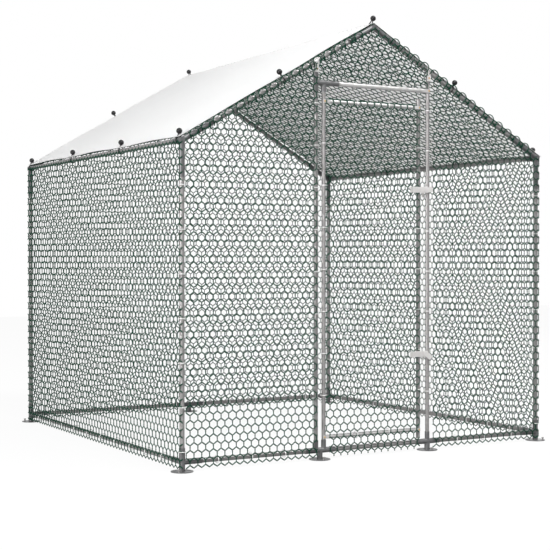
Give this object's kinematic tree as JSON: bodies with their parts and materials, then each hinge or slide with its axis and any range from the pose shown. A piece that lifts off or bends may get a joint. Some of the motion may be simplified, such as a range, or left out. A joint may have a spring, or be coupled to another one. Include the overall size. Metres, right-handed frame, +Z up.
{
  "type": "walk-in chicken run",
  "caption": "Walk-in poultry enclosure: galvanised tube frame with a gable roof, hexagonal wire netting, a hinged door with turn latches and a cloth roof cover held by ball bungees",
  "frame": {"origin": "on the ground under the middle of the run", "axes": "+Z up, the door is on the -Y side, +X to the right as seen from the door side; the ridge runs along Y"},
  "size_m": [2.1, 2.1, 2.0778],
  "materials": {
    "galvanised": "hot-dip galvanised tube, semi-gloss",
    "fitting_grey": "dull grey zinc",
    "pale_zinc": "pale zinc plate",
    "yellow_zinc": "yellow zinc plate",
    "coated_wire": "green plastic-coated wire",
    "cover_cloth": "woven off-white tarpaulin",
    "ball_plastic": "gloss black",
    "elastic": "black elastic cord"
  },
  "bodies": {
    "frame": {"post_front_left": "galvanised", "post_front_right": "galvanised", "post_back_left": "galvanised", "post_back_right": "galvanised", "base_rail_left": "galvanised", "base_rail_right": "galvanised", "base_rails_back": "galvanised", "base_rail_front_left": "galvanised", "base_rail_front_right": "galvanised", "base_rail_door": "galvanised", "eave_rail_left": "galvanised", "eave_rail_right": "galvanised", "ridge_rail": "galvanised", "rafter_front_left": "galvanised", "rafter_front_right": "galvanised", "rafter_back_left": "galvanised", "rafter_back_right": "galvanised", "foot_front_left": "fitting_grey", "foot_front_right": "fitting_grey", "foot_back_left": "fitting_grey", "foot_back_right": "fitting_grey", "foot_back_middle": "fitting_grey", "foot_door_hinge": "fitting_grey", "foot_door_latch": "fitting_grey", "eave_corner_front_left": "fitting_grey", "eave_corner_front_right": "fitting_grey", "eave_corner_back_left": "fitting_grey", "eave_corner_back_right": "fitting_grey", "apex_front": "fitting_grey", "apex_back": "fitting_grey", "door_post_hinge": "galvanised", "door_post_latch": "galvanised", "rafter_clamps": "pale_zinc", "lintel_fitting": "fitting_grey", "lintel": "galvanised", "frame_screws": "yellow_zinc", "ground_pegs": "galvanised", "net_left": "coated_wire", "net_right": "coated_wire", "net_back": "coated_wire", "net_front_left": "coated_wire", "net_front_right": "coated_wire", "net_gable": "coated_wire", "net_roof_left": "coated_wire", "net_roof_right": "coated_wire", "roof_cover": "cover_cloth", "bungee_balls": "ball_plastic", "bungee_loops": "elastic"},
    "door": {"door_stile_hinge": "galvanised", "door_stile_latch": "galvanised", "door_rail_top": "galvanised", "door_rail_bottom": "galvanised", "door_net": "coated_wire", "door_screws": "yellow_zinc", "latch_plates": "pale_zinc", "latch_rivets": "pale_zinc"},
    "upper_latch": {"upper_latch_tab": "pale_zinc", "upper_latch_pin": "pale_zinc"},
    "lower_latch": {"lower_latch_tab": "pale_zinc", "lower_latch_pin": "pale_zinc"}
  },
  "joints": [
    {"name": "door_swing", "type": "hinge", "parent": "frame", "child": "door", "pos_m": [-0.275, -1, 0.9], "axis": [0, 0, -1], "range_deg": [0, 110]},
    {"name": "upper_latch_turn", "type": "hinge", "parent": "door", "child": "upper_latch", "pos_m": [0.298, -1, 1.26133], "axis": [0, -1, 0], "range_deg": [0, 90]},
    {"name": "lower_latch_turn", "type": "hinge", "parent": "door", "child": "lower_latch", "pos_m": [0.298, -1, 0.469], "axis": [0, -1, 0], "range_deg": [0, 90]}
  ]
}
